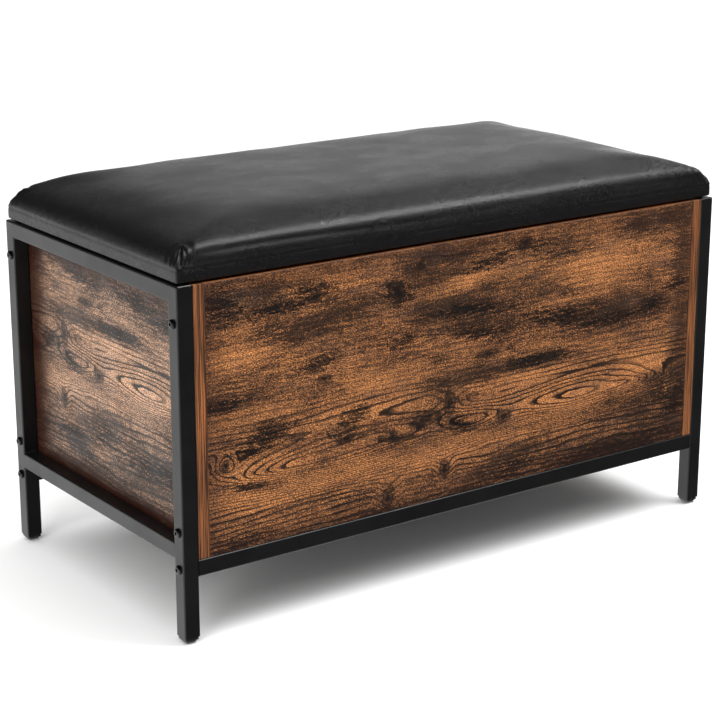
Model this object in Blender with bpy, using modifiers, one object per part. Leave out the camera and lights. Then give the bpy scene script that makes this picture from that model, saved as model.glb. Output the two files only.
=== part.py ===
"""A flip-top storage bench.

Two welded side frames of square steel tube are bolted to a front and a rear rail. Between them
stands a chest of laminated board, and a padded lid turns on two hinges at the chest's rear edge.
X runs along the bench, -Y is the front and +Z is up. The origin is on the floor under its middle.
"""

import math

import bmesh
import bpy
from mathutils import Matrix, Vector

MM = 0.001

# Whole bench
LENGTH = 800 * MM
DEPTH = 410 * MM
FRAME_TOP = 418 * MM
GAP = 0.3 * MM  # between pieces that touch on the real bench

# Steel frame
TUBE = 20 * MM
TUBE_WALL = 1.2 * MM
TUBE_RADIUS = 2 * MM
LEG_BOTTOM = 8 * MM
SIDE_RAIL_BOTTOM = 100 * MM
LONG_RAIL_BOTTOM = 80 * MM

# Chest boards
BOARD = 15 * MM
BOTTOM_BOARD = 12 * MM
BOARD_TOP = 417 * MM
BOARD_INSET = 0.5 * MM  # from the legs' outer faces to the front and rear boards
BOARD_EDGE = 0.4 * MM

# Bolts through the legs
BOLT_HEIGHTS = (90 * MM, 134 * MM, 375 * MM)  # the lowest goes into the long rail
BOLT_RADIUS = 3 * MM
BOLT_LONG = 53 * MM
BOLT_SHORT = 34 * MM
HEAD_RADIUS = 5.5 * MM
HEAD_HEIGHT = 3.3 * MM
HEAD_LIP = 0.6 * MM
HEAD_FLAT = 2.8 * MM
SOCKET_ACROSS = 4 * MM
SOCKET_DEPTH = 2 * MM
CHAMFER = 0.7 * MM
NUT_LENGTH = 12 * MM

# Foot glides
GLIDE_WIDTH = 18 * MM
GLIDE_CORNER = 4 * MM
GLIDE_FLAT_SHARE = 0.36
GLIDE_STEPS = 5
GLIDE_PLUG = 17 * MM

# Lid
LID_LENGTH = 796 * MM
LID_FRONT = -202 * MM
LID_REAR = 202.7 * MM
LID_BOTTOM = 419.8 * MM
LID_BOARD = 15 * MM
LEATHER = 1.2 * MM
SEAT_EDGE = 34 * MM  # height of the padded edge over the lid's underside
SEAT_CROWN = 61.5 * MM
SEAT_SPANS = (20, 12)
FLANGE = 22 * MM  # leather turned in under the lid board
DUST_COVER = 0.6 * MM
FOAM_INSET = 2.6 * MM
BUMPER_RADIUS = 4.5 * MM
BUMPER_INSET = 12 * MM  # from the frame's outer faces to a bumper's middle

# Hinges
HINGE_X = 255 * MM
HINGE_WIDTH = 60 * MM
KNUCKLE_RADIUS = 3 * MM
KNUCKLE_MIDDLE = 12 * MM  # half the width of the lid leaf's knuckle
HINGE_Y = DEPTH / 2 - KNUCKLE_RADIUS
HINGE_Z = LID_BOTTOM - GAP - KNUCKLE_RADIUS
ROLL = 280  # degrees that a leaf is rolled round the pin
ROLL_STEPS = 14
PIN_RADIUS = 1.5 * MM
PIN_HEAD_RADIUS = 2.3 * MM
PIN_HEAD = 0.8 * MM
LEAF = 1.4 * MM
LEAF_REACH = 38 * MM
LEAF_DROP = 30 * MM
LEAF_CLEAR = 3.4 * MM  # from the pin's axis to the full-width part of a leaf
NOTCH_SIDE = 2.2 * MM

# Wood screws in the hinge leaves
SCREW_RADIUS = 1.75 * MM
SCREW_LENGTH = 12 * MM
SCREW_HEAD_RADIUS = 3.5 * MM
SCREW_HEAD = 2 * MM
SCREW_X = 20 * MM
SCREW_Y = 172 * MM
SCREW_Z = 397 * MM

BOLT_STEPS = 16
BORE_STEPS = 10
PIN_STEPS = 20
SCREW_STEPS = 10

SIDES = {"left": -1, "right": 1}
ENDS = {"front": -1, "rear": 1}

LOOKS = {
    "powder_coat": ((0.016, 0.016, 0.018), 0.5, 0.0),
    "black_bolt": ((0.02, 0.02, 0.022), 0.35, 0.9),
    "zinc_steel": ((0.55, 0.55, 0.56), 0.32, 1.0),
    "rustic_board": ((0.19, 0.085, 0.035), 0.5, 0.0),
    "lid_board": ((0.42, 0.31, 0.2), 0.75, 0.0),
    "foam": ((0.78, 0.74, 0.62), 0.95, 0.0),
    "leather": ((0.018, 0.018, 0.019), 0.38, 0.0),
    "dust_cloth": ((0.03, 0.03, 0.032), 0.95, 0.0),
    "glide_plastic": ((0.02, 0.02, 0.02), 0.45, 0.0),
    "rubber": ((0.03, 0.03, 0.03), 0.8, 0.0),
}


def clear_scene():
    for obj in list(bpy.data.objects):
        bpy.data.objects.remove(obj)


def collection(name):
    made = bpy.data.collections.new(name)
    bpy.context.scene.collection.children.link(made)
    return made


def material(name, look):
    colour, roughness, metallic = LOOKS[look]
    made = bpy.data.materials.new(name)
    made.use_nodes = True
    shader = made.node_tree.nodes["Principled BSDF"]
    shader.inputs["Base Color"].default_value = (*colour, 1)
    shader.inputs["Roughness"].default_value = roughness
    shader.inputs["Metallic"].default_value = metallic
    made.diffuse_color = (*colour, 1)
    return made


def piece(name, mesh, look):
    """A sub-part of the bench. Pieces that share a mesh carry their material on the object."""
    obj = bpy.data.objects.new(name, mesh)
    PARTS.objects.link(obj)
    if not mesh.materials:
        mesh.materials.append(None)
    obj.material_slots[0].link = "OBJECT"
    obj.material_slots[0].material = material(name, look)
    return obj


def helper(name, mesh):
    """A shape that only cuts or joins others."""
    obj = bpy.data.objects.new(name, mesh)
    CUTTERS.objects.link(obj)
    obj.hide_render = True
    obj.display_type = "WIRE"
    return obj


def mesh_of(bm, name):
    bmesh.ops.recalc_face_normals(bm, faces=bm.faces)
    mesh = bpy.data.meshes.new(name)
    bm.to_mesh(mesh)
    bm.free()
    return mesh


def block(low, high, bevel=0.0):
    """A box between two corners, with its edges rounded over if bevel is given."""
    low, high = Vector(low), Vector(high)
    bm = bmesh.new()
    place = Matrix.Translation((low + high) / 2) @ Matrix.Diagonal((*(high - low), 1))
    bmesh.ops.create_cube(bm, size=1, matrix=place)
    if bevel:
        bmesh.ops.bevel(bm, geom=bm.edges[:], offset=bevel, segments=1, affect="EDGES")
    return mesh_of(bm, "block")


def rod(start, axis, length, radius, steps):
    """A plain cylinder from start along "X", "Y" or "Z"."""
    turn = {
        "X": Matrix.Rotation(math.pi / 2, 4, "Y"),
        "Y": Matrix.Rotation(-math.pi / 2, 4, "X"),
        "Z": Matrix.Identity(4),
    }[axis]
    place = Matrix.Translation(start) @ turn @ Matrix.Translation((0, 0, length / 2))
    bm = bmesh.new()
    bmesh.ops.create_cone(
        bm, cap_ends=True, segments=steps, radius1=radius, radius2=radius, depth=length, matrix=place
    )
    return mesh_of(bm, "rod")


def drawn_down(bm, edges, z, ratio=1.0):
    """Extrudes the edges down to z, drawn in about the Z axis by ratio, and returns the new edges."""
    made = bmesh.ops.extrude_edge_only(bm, edges=edges)["geom"]
    for v in made:
        if isinstance(v, bmesh.types.BMVert):
            v.co = (v.co.x * ratio, v.co.y * ratio, z)
    return [e for e in made if isinstance(e, bmesh.types.BMEdge)]


def boolean(obj, operation, others):
    for other in others:
        modifier = obj.modifiers.new(f"{operation.lower()} {other.name}", "BOOLEAN")
        modifier.operation = operation
        modifier.solver = "EXACT"
        modifier.object = other


def evaluated_mesh(obj, name):
    """The object's mesh with its modifiers applied, for pieces that share it. The object is removed."""
    bpy.context.view_layer.update()
    graph = bpy.context.evaluated_depsgraph_get()
    mesh = bpy.data.meshes.new_from_object(obj.evaluated_get(graph))
    mesh.name = name
    bpy.data.objects.remove(obj)
    return mesh


def turned(profile, steps):
    """An object turned about Z from (radius, height) points that run from top to bottom."""
    mesh = bpy.data.meshes.new("profile")
    points = [(radius, 0, height) for radius, height in profile]
    mesh.from_pydata(points, [(i, i + 1) for i in range(len(points) - 1)], [])
    obj = bpy.data.objects.new("turned", mesh)
    CUTTERS.objects.link(obj)
    screw = obj.modifiers.new("turn", "SCREW")
    screw.axis = "Z"
    screw.steps = screw.render_steps = steps
    screw.use_merge_vertices = True
    screw.merge_threshold = 0.01 * MM
    screw.use_smooth_shade = True
    return obj


# Steel frame


def square_tube(name, low, high, open_faces):
    """A rounded square tube. open_faces are the directions of its open ends."""
    mesh = block(low, high)
    bm = bmesh.new()
    bm.from_mesh(mesh)
    bm.faces.ensure_lookup_table()
    opened = [f for f in bm.faces if any(f.normal.dot(Vector(d)) > 0.9 for d in open_faces)]
    bmesh.ops.delete(bm, geom=opened, context="FACES")
    bm.to_mesh(mesh)
    bm.free()
    obj = piece(name, mesh, "powder_coat")
    bevel = obj.modifiers.new("tube corners", "BEVEL")
    bevel.width = TUBE_RADIUS
    bevel.segments = 3
    wall = obj.modifiers.new("tube wall", "SOLIDIFY")
    wall.thickness = TUBE_WALL
    wall.offset = -1
    wall.use_even_offset = True
    return obj


def make_side_frames():
    inner_y = DEPTH / 2 - TUBE
    for side, sx in SIDES.items():
        outer = sx * LENGTH / 2
        x_low, x_high = sorted((outer, outer - sx * TUBE))
        for end, sy in ENDS.items():
            y_low, y_high = sorted((sy * DEPTH / 2, sy * inner_y))
            low, high = (x_low, y_low, LEG_BOTTOM), (x_high, y_high, FRAME_TOP)
            leg = square_tube(f"leg_{end}_{side}", low, high, [(0, 0, -1)])
            boolean(leg, "DIFFERENCE", [BOLT_BORES[side, end, z] for z in BOLT_HEIGHTS])
        rails = {"top": FRAME_TOP - TUBE, "bottom": SIDE_RAIL_BOTTOM}
        for level, z in rails.items():
            low = (x_low, -inner_y + GAP, z)
            high = (x_high, inner_y - GAP, z + TUBE)
            square_tube(f"side_{level}_rail_{side}", low, high, [(0, 1, 0), (0, -1, 0)])


def make_long_rails():
    reach = LENGTH / 2 - TUBE - GAP
    for end, sy in ENDS.items():
        y_low, y_high = sorted((sy * DEPTH / 2, sy * (DEPTH / 2 - TUBE)))
        low, high = (-reach, y_low, LONG_RAIL_BOTTOM), (reach, y_high, LONG_RAIL_BOTTOM + TUBE)
        square_tube(f"{end}_rail", low, high, [(1, 0, 0), (-1, 0, 0)])
        for side, sx in SIDES.items():
            make_rail_nut(side, sx, end, sy, reach)


def make_rail_nut(side, sx, end, sy, reach):
    """The threaded block in a rail's end that a lower bolt screws into."""
    half = TUBE / 2 - TUBE_WALL - GAP
    y = sy * (DEPTH / 2 - TUBE / 2)
    z = LONG_RAIL_BOTTOM + TUBE / 2
    x_low, x_high = sorted((sx * (reach - GAP), sx * (reach - NUT_LENGTH)))
    mesh = block((x_low, y - half, z - half), (x_high, y + half, z + half), CHAMFER)
    nut = piece(f"rail_nut_{end}_{side}", mesh, "zinc_steel")
    boolean(nut, "DIFFERENCE", [BOLT_BORES[side, end, BOLT_HEIGHTS[0]]])


def make_bolt_bores():
    """The bores along X through each leg and what stands behind it, by side, end and height."""
    bores = {}
    past = 4 * MM
    for side, sx in SIDES.items():
        for end, sy in ENDS.items():
            for z in BOLT_HEIGHTS:
                length = BOLT_LONG + 2 * past
                x = min(sx * (LENGTH / 2 + past), sx * (LENGTH / 2 + past - length))
                start = (x, sy * (DEPTH / 2 - TUBE / 2), z)
                mesh = rod(start, "X", length, BOLT_RADIUS + GAP, BORE_STEPS)
                bores[side, end, z] = helper(f"bolt_bore_{end}_{side}_{z / MM:.0f}", mesh)
    return bores


def bolt_mesh(length):
    """A button-head bolt with a hexagon socket, its head up and its head's underside at z = 0."""
    rise, run = HEAD_HEIGHT - HEAD_LIP, HEAD_RADIUS - HEAD_FLAT
    arc = [math.radians(90 - 22.5 * i) for i in range(5)]
    dome = [(HEAD_FLAT + run * math.cos(a), HEAD_LIP + rise * math.sin(a)) for a in arc]
    shank = [
        (HEAD_RADIUS, 0),
        (BOLT_RADIUS, 0),
        (BOLT_RADIUS, CHAMFER - length),
        (BOLT_RADIUS - CHAMFER, -length),
        (0, -length),
    ]
    bolt = turned([(0, HEAD_HEIGHT), *dome, *shank], BOLT_STEPS)
    across = SOCKET_ACROSS / 2 / math.cos(math.radians(30))
    bottom = (0, 0, HEAD_HEIGHT - SOCKET_DEPTH)
    socket = helper("hex_socket", rod(bottom, "Z", 2 * SOCKET_DEPTH, across, 6))
    boolean(bolt, "DIFFERENCE", [socket])
    return evaluated_mesh(bolt, "bolt")


def make_bolts():
    meshes = {z: bolt_mesh(BOLT_LONG) for z in BOLT_HEIGHTS[1:]}
    meshes[BOLT_HEIGHTS[0]] = bolt_mesh(BOLT_SHORT)
    levels = dict(zip(BOLT_HEIGHTS, ("rail", "lower", "upper")))
    for side, sx in SIDES.items():
        for end, sy in ENDS.items():
            for z, level in levels.items():
                bolt = piece(f"bolt_{level}_{end}_{side}", meshes[z], "black_bolt")
                bolt.location = (sx * (LENGTH / 2 + GAP), sy * (DEPTH / 2 - TUBE / 2), z)
                bolt.rotation_euler = (0, sx * math.pi / 2, 0)


def glide_mesh():
    """A domed glide with a plug that fits inside the leg. Its sole is at z = 0."""
    top = LEG_BOTTOM - GAP
    bm = bmesh.new()
    place = Matrix.Translation((0, 0, top))
    bmesh.ops.create_grid(bm, x_segments=1, y_segments=1, size=GLIDE_WIDTH / 2, matrix=place)
    bmesh.ops.bevel(
        bm, geom=bm.verts[:], offset=GLIDE_CORNER, segments=4, profile=0.5, affect="VERTICES"
    )
    edges = bm.edges[:]
    share = 1.0
    for step in range(1, GLIDE_STEPS + 1):
        turn = math.pi / 2 * step / GLIDE_STEPS
        narrower = GLIDE_FLAT_SHARE + (1 - GLIDE_FLAT_SHARE) * math.cos(turn)
        edges = drawn_down(bm, edges, top * (1 - math.sin(turn)), narrower / share)
        share = narrower
    bmesh.ops.edgeloop_fill(bm, edges=edges)
    dome = bpy.data.objects.new("glide", mesh_of(bm, "glide"))
    CUTTERS.objects.link(dome)
    half = GLIDE_PLUG / 2
    plug_low, plug_high = (-half, -half, top / 2), (half, half, top + GLIDE_PLUG)
    boolean(dome, "UNION", [helper("glide_plug", block(plug_low, plug_high, CHAMFER))])
    return evaluated_mesh(dome, "glide")


def make_glides():
    mesh = glide_mesh()
    for side, sx in SIDES.items():
        for end, sy in ENDS.items():
            glide = piece(f"foot_glide_{end}_{side}", mesh, "glide_plastic")
            glide.location = (sx * (LENGTH - TUBE) / 2, sy * (DEPTH - TUBE) / 2, 0)


# Chest


def make_chest():
    inner_x = LENGTH / 2 - TUBE  # the side boards stand against the legs' inner faces
    outer_y = DEPTH / 2 - BOARD_INSET
    bottom = LONG_RAIL_BOTTOM + TUBE + GAP
    for side, sx in SIDES.items():
        x_low, x_high = sorted((sx * (inner_x - GAP), sx * (inner_x - BOARD)))
        low, high = (x_low, -outer_y, bottom), (x_high, outer_y, BOARD_TOP)
        board = piece(f"side_panel_{side}", block(low, high, BOARD_EDGE), "rustic_board")
        bores = [BOLT_BORES[side, end, z] for end in ENDS for z in BOLT_HEIGHTS[1:]]
        boolean(board, "DIFFERENCE", bores)
    half = inner_x - BOARD - GAP
    for end, sy in ENDS.items():
        y_low, y_high = sorted((sy * outer_y, sy * (outer_y - BOARD)))
        low, high = (-half, y_low, bottom), (half, y_high, BOARD_TOP)
        board = piece(f"{end}_panel", block(low, high, BOARD_EDGE), "rustic_board")
        bores = [BOLT_BORES[side, end, z] for side in SIDES for z in BOLT_HEIGHTS[1:]]
        boolean(board, "DIFFERENCE", bores)
        if end == "rear":
            boolean(board, "DIFFERENCE", HINGE_NOTCHES + PANEL_PILOTS)
    inner_y = outer_y - BOARD - GAP
    low, high = (-half, -inner_y, bottom), (half, inner_y, bottom + BOTTOM_BOARD)
    piece("bottom_panel", block(low, high, BOARD_EDGE), "rustic_board")


# Lid


def seat_height(u, v):
    """Height of the seat's top over the lid's underside, for u and v from -1 to 1 across the lid."""
    roll = (1 - abs(u) ** 4) ** 0.5 * (1 - abs(v) ** 2.6) ** 0.5
    return SEAT_EDGE + (SEAT_CROWN - SEAT_EDGE) * roll


def seat_surface(bm, inset, lower):
    """A crowned grid over the lid, drawn in by inset and lowered by lower. Its boundary edges are returned."""
    half_x = LID_LENGTH / 2 - inset
    half_y = (LID_REAR - LID_FRONT) / 2 - inset
    middle = (LID_REAR + LID_FRONT) / 2
    spans_x, spans_y = SEAT_SPANS
    bmesh.ops.create_grid(bm, x_segments=spans_x, y_segments=spans_y, size=1)
    for v in bm.verts:
        # a sine spacing puts more of the grid's rows along its rolled edges
        u, w = math.sin(v.co.x * math.pi / 2), math.sin(v.co.y * math.pi / 2)
        v.co = (u * half_x, middle + w * half_y, LID_BOTTOM + seat_height(u, w) - lower)
    return [e for e in bm.edges if e.is_boundary]


def make_leather_cover():
    """The cover, open underneath where its edge is turned in under the lid board."""
    bm = bmesh.new()
    edges = drawn_down(bm, seat_surface(bm, 0, 0), LID_BOTTOM)
    made = bmesh.ops.extrude_edge_only(bm, edges=edges)["geom"]
    middle = (LID_REAR + LID_FRONT) / 2
    reach = Vector((LID_LENGTH / 2, (LID_REAR - LID_FRONT) / 2))
    for v in made:
        if isinstance(v, bmesh.types.BMVert):
            v.co.x *= (reach.x - FLANGE) / reach.x
            v.co.y = middle + (v.co.y - middle) * (reach.y - FLANGE) / reach.y
    cover = piece("leather_cover", mesh_of(bm, "leather_cover"), "leather")
    skin = cover.modifiers.new("leather", "SOLIDIFY")
    skin.thickness = LEATHER
    skin.offset = -1
    skin.use_even_offset = True


def make_foam(board_top):
    bm = bmesh.new()
    edges = seat_surface(bm, FOAM_INSET, FOAM_INSET)
    lower = drawn_down(bm, edges, board_top + GAP)
    bmesh.ops.edgeloop_fill(bm, edges=lower)
    piece("seat_foam", mesh_of(bm, "seat_foam"), "foam")


def make_lid():
    inset = LEATHER + GAP
    x, front, rear = LID_LENGTH / 2 - inset, LID_FRONT + inset, LID_REAR - inset
    bottom = LID_BOTTOM + LEATHER + GAP
    low, high = (-x, front, bottom), (x, rear, bottom + LID_BOARD)
    board = piece("lid_board", block(low, high, CHAMFER), "lid_board")
    boolean(board, "DIFFERENCE", LID_PILOTS)
    make_foam(bottom + LID_BOARD)
    make_leather_cover()
    edge = FLANGE + GAP
    low = (edge - LID_LENGTH / 2, LID_FRONT + edge, bottom - GAP - DUST_COVER)
    high = (LID_LENGTH / 2 - edge, LID_REAR - edge, bottom - GAP)
    dust_cover = piece("dust_cover", block(low, high), "dust_cloth")
    boolean(dust_cover, "DIFFERENCE", LID_PILOTS)
    make_bumpers()


def make_bumpers():
    """Pads under the lid's corners, which land on the tops of the legs."""
    height = LID_BOTTOM - FRAME_TOP - 2 * GAP
    x, y = LENGTH / 2 - BUMPER_INSET, DEPTH / 2 - BUMPER_INSET
    rounding = height / 3
    profile = [
        (0, height),
        (BUMPER_RADIUS, height),
        (BUMPER_RADIUS, rounding),
        (BUMPER_RADIUS - rounding, 0),
        (0, 0),
    ]
    mesh = evaluated_mesh(turned(profile, BOLT_STEPS), "bumper")
    for side, sx in SIDES.items():
        for end, sy in ENDS.items():
            bumper = piece(f"lid_bumper_{end}_{side}", mesh, "rubber")
            bumper.location = (sx * x, sy * y, FRAME_TOP + GAP)


# Hinges. Each is made about X = 0, and its pieces stand at the hinge's place.


def make_hinge_notches():
    """The two recesses in the rear panel's top edge that the hinges lie in."""
    half = HINGE_WIDTH / 2 + NOTCH_SIDE
    bottom = HINGE_Z - KNUCKLE_RADIUS - GAP
    past = 5 * MM
    low, high = (-half, DEPTH / 2 - BOARD - past, bottom), (half, DEPTH / 2 + past, BOARD_TOP + past)
    notches = []
    for side, sx in SIDES.items():
        notch = helper(f"hinge_notch_{side}", block(low, high))
        notch.location.x = sx * HINGE_X
        notches.append(notch)
    return notches


def pilot(name, start, axis):
    length = SCREW_LENGTH + 2 * SCREW_HEAD
    return helper(name, rod(start, axis, length, SCREW_RADIUS + GAP, BORE_STEPS))


def screw_places():
    """Where the hinge screws stand: (side, number, x) for each."""
    return [
        (side, number, sx * HINGE_X + dx)
        for side, sx in SIDES.items()
        for number, dx in enumerate((-SCREW_X, SCREW_X), 1)
    ]


def make_panel_pilots():
    start_y = panel_leaf_y() - SCREW_HEAD
    return [
        pilot(f"panel_pilot_{side}_{n}", (x, start_y, SCREW_Z), "Y") for side, n, x in screw_places()
    ]


def make_lid_pilots():
    start_z = lid_leaf_z() - SCREW_HEAD
    return [pilot(f"lid_pilot_{side}_{n}", (x, SCREW_Y, start_z), "Z") for side, n, x in screw_places()]


def panel_leaf_y():
    """The inner face of the leaf on the rear panel."""
    return DEPTH / 2 - BOARD_INSET - BOARD - GAP - LEAF


def lid_leaf_z():
    """The lower face of the leaf under the lid."""
    return LID_BOTTOM - GAP - LEAF


def rolled_leaf(name, path, up, cuts):
    """A leaf of sheet steel along (y, z) points, rolled round the pin, upwards or downwards.

    The sheet is open over the stretches of the roll that cuts gives, as (start, end) along X,
    where the other leaf's knuckles go. Points run about the pin's axis.
    """
    half, middle = HINGE_WIDTH / 2, KNUCKLE_RADIUS - LEAF / 2
    turns = [math.radians(90 - ROLL * i / ROLL_STEPS) for i in range(ROLL_STEPS + 1)]
    path = path + [(middle * math.cos(a), up * middle * math.sin(a)) for a in turns]
    bm = bmesh.new()
    verts = [bm.verts.new((-half, HINGE_Y + y, HINGE_Z + z)) for y, z in path]
    edges = [bm.edges.new(pair) for pair in zip(verts, verts[1:])]
    made = bmesh.ops.extrude_edge_only(bm, edges=edges)["geom"]
    moved = [v for v in made if isinstance(v, bmesh.types.BMVert)]
    bmesh.ops.translate(bm, vec=(2 * half, 0, 0), verts=moved)
    leaf = helper(name, mesh_of(bm, name))
    sheet = leaf.modifiers.new("sheet", "SOLIDIFY")
    sheet.thickness = LEAF
    sheet.offset = 0
    sheet.use_even_offset = True
    around = 2 * KNUCKLE_RADIUS
    for number, (start, end) in enumerate(cuts, 1):
        low = (start, HINGE_Y - LEAF_CLEAR, HINGE_Z - around)
        high = (end, HINGE_Y + around, HINGE_Z + around)
        boolean(leaf, "DIFFERENCE", [helper(f"{name}_cut_{number}", block(low, high))])
    return leaf


def leaf_holes(name, y, z, axis):
    return [pilot(f"{name}_hole_{dx / MM:.0f}", (dx, y, z), axis) for dx in (-SCREW_X, SCREW_X)]


def lid_leaf_mesh():
    """The leaf under the lid, with the middle knuckle."""
    width, past = KNUCKLE_MIDDLE - GAP, HINGE_WIDTH
    path = [(-LEAF_REACH, KNUCKLE_RADIUS - LEAF / 2)]
    leaf = rolled_leaf("lid_leaf", path, 1, [(-past, -width), (width, past)])
    boolean(leaf, "DIFFERENCE", leaf_holes("lid_leaf", SCREW_Y, lid_leaf_z() - SCREW_HEAD, "Z"))
    return evaluated_mesh(leaf, "hinge_lid_leaf")


def panel_leaf_mesh():
    """The leaf on the rear panel: up its inner face, over its notched edge and round the pin."""
    inner = panel_leaf_y() + LEAF / 2 - HINGE_Y
    floor = LEAF / 2 - KNUCKLE_RADIUS
    path = [(inner, floor - LEAF_DROP), (inner, floor)]
    leaf = rolled_leaf("panel_leaf", path, -1, [(-KNUCKLE_MIDDLE, KNUCKLE_MIDDLE)])
    boolean(leaf, "DIFFERENCE", leaf_holes("panel_leaf", panel_leaf_y() - SCREW_HEAD, SCREW_Z, "Y"))
    return evaluated_mesh(leaf, "hinge_panel_leaf")


def pin_mesh():
    """The pin, its length along Z, with a flat head at each end outside the knuckles."""
    half = HINGE_WIDTH / 2 + GAP
    end = half + PIN_HEAD
    profile = [
        (0, end),
        (PIN_HEAD_RADIUS - PIN_HEAD / 2, end),
        (PIN_HEAD_RADIUS, end - PIN_HEAD / 2),
        (PIN_HEAD_RADIUS, half),
        (PIN_RADIUS, half),
    ]
    mirrored = [(radius, -height) for radius, height in reversed(profile)]
    return evaluated_mesh(turned(profile + mirrored, PIN_STEPS), "hinge_pin")


def screw_mesh():
    """A pan-head wood screw, head up, with its head's underside at z = 0."""
    shoulder = SCREW_HEAD_RADIUS * 0.8
    profile = [
        (0, SCREW_HEAD),
        (shoulder, SCREW_HEAD),
        (SCREW_HEAD_RADIUS, SCREW_HEAD / 2),
        (SCREW_HEAD_RADIUS, 0),
        (SCREW_RADIUS, 0),
        (SCREW_RADIUS, 2 * SCREW_RADIUS - SCREW_LENGTH),
        (0, -SCREW_LENGTH),
    ]
    screw = turned(profile, SCREW_STEPS)
    drive = rod((0, 0, SCREW_HEAD / 2), "Z", SCREW_HEAD, shoulder / 2, 4)
    boolean(screw, "DIFFERENCE", [helper("square_drive", drive)])
    return evaluated_mesh(screw, "wood_screw")


def make_hinges():
    lid_leaf, panel_leaf, pin = lid_leaf_mesh(), panel_leaf_mesh(), pin_mesh()
    for side, sx in SIDES.items():
        for name, mesh in (("lid_leaf", lid_leaf), ("panel_leaf", panel_leaf)):
            leaf = piece(f"hinge_{name}_{side}", mesh, "zinc_steel")
            leaf.location.x = sx * HINGE_X
        made = piece(f"hinge_pin_{side}", pin, "zinc_steel")
        made.location = (sx * HINGE_X, HINGE_Y, HINGE_Z)
        made.rotation_euler = (0, math.pi / 2, 0)
    screw = screw_mesh()
    for side, n, x in screw_places():
        up = piece(f"lid_leaf_screw_{side}_{n}", screw, "zinc_steel")
        up.location = (x, SCREW_Y, lid_leaf_z() - GAP)
        up.rotation_euler = (math.pi, 0, 0)
        back = piece(f"panel_leaf_screw_{side}_{n}", screw, "zinc_steel")
        back.location = (x, panel_leaf_y() - GAP, SCREW_Z)
        back.rotation_euler = (math.pi / 2, 0, 0)


def hang_lid():
    """Parents the lid's pieces to an empty on the hinge axis, so that turning it opens the lid."""
    axis = bpy.data.objects.new("lid_axis", None)
    PARTS.objects.link(axis)
    axis.location = (0, HINGE_Y, HINGE_Z)
    bpy.context.view_layer.update()
    on_lid = ("lid_", "seat_foam", "leather_cover", "dust_cover", "hinge_lid_leaf")
    for obj in PARTS.objects:
        if obj is not axis and obj.name.startswith(on_lid):
            obj.parent = axis
            obj.matrix_parent_inverse = axis.matrix_world.inverted()


clear_scene()
PARTS = collection("storage_bench")
CUTTERS = collection("cutters")
BOLT_BORES = make_bolt_bores()
HINGE_NOTCHES = make_hinge_notches()
PANEL_PILOTS = make_panel_pilots()
LID_PILOTS = make_lid_pilots()
make_side_frames()
make_long_rails()
make_bolts()
make_glides()
make_chest()
make_lid()
make_hinges()
hang_lid()
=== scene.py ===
"""Looks of the flip-top storage bench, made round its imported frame.

X runs along the bench, -Y is the front and +Z is up. Lengths are in metres, and MM turns
millimetres into them.
"""

import math

import bmesh
import bpy
import numpy as np
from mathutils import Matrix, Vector, noise


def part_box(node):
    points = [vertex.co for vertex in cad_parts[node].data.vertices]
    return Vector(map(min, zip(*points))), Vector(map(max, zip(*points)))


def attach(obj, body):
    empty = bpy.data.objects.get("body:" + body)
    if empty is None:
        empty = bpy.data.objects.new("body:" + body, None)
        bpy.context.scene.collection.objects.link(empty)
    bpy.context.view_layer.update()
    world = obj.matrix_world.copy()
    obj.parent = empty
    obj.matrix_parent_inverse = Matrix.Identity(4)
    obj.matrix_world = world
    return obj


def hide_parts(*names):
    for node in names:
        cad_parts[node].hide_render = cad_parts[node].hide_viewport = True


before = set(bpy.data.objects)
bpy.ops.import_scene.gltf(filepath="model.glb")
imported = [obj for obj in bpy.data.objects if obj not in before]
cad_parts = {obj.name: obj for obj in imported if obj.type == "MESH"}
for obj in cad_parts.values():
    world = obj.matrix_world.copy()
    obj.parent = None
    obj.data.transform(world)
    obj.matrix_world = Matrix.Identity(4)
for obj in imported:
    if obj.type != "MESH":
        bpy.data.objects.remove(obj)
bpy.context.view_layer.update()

MM = 0.001

# Seat, measured from the lid's underside
BAND = 16.5 * MM  # leather pulled flat over the edge of the lid board
CROWN = 59 * MM  # top of the padding in the middle
END_SLOPE = 200 * MM  # how far the rounding reaches in from each end
END_ROUND = 2.55  # exponent of the profile at the ends; 2 is an ellipse
CORNER_FULL = 5  # how far the two profiles add up at a corner; more is fuller
EDGE_ROUND = 3.8  # exponent of the profile at the front and the rear
BAND_CORNER = 3 * MM  # radius of the flat band's corners
SEAT_CORNER = 19 * MM  # radius of the padded top's corners
FINE, COARSE = 2.6 * MM, 11 * MM  # spacing of the seat's mesh at its edges and in its middle
SWELL = 3 * MM  # furthest that the simulation may move a point
FLANGE = 22 * MM  # leather turned in under the lid board
BOARD_SLACK = 0.2  # millimetres between the board and its pocket in the padding
FURROW = 29 * MM  # height of the slack furrow along the front

# Camera
CAMERA_AT = (-1.4597, -2.0252, 0.9593)
CAMERA_DOWN = 16.525
CAMERA_TURN = -35.553
CAMERA_LENS = 101.35


def shade(red, green, blue):
    """A display colour, 0 to 255, as the linear one that a shader takes."""
    linear = [c / 12.92 if c < 0.04045 else ((c + 0.055) / 1.055) ** 2.4
              for c in (red / 255, green / 255, blue / 255)]
    return (*linear, 1)


def smooth(value, low, high):
    """0 at low, 1 at high and an easy curve between, for numbers and arrays."""
    t = np.clip((value - low) / (high - low), 0, 1)
    return t * t * (3 - 2 * t)


# ---------------------------------------------------------------- materials


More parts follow.
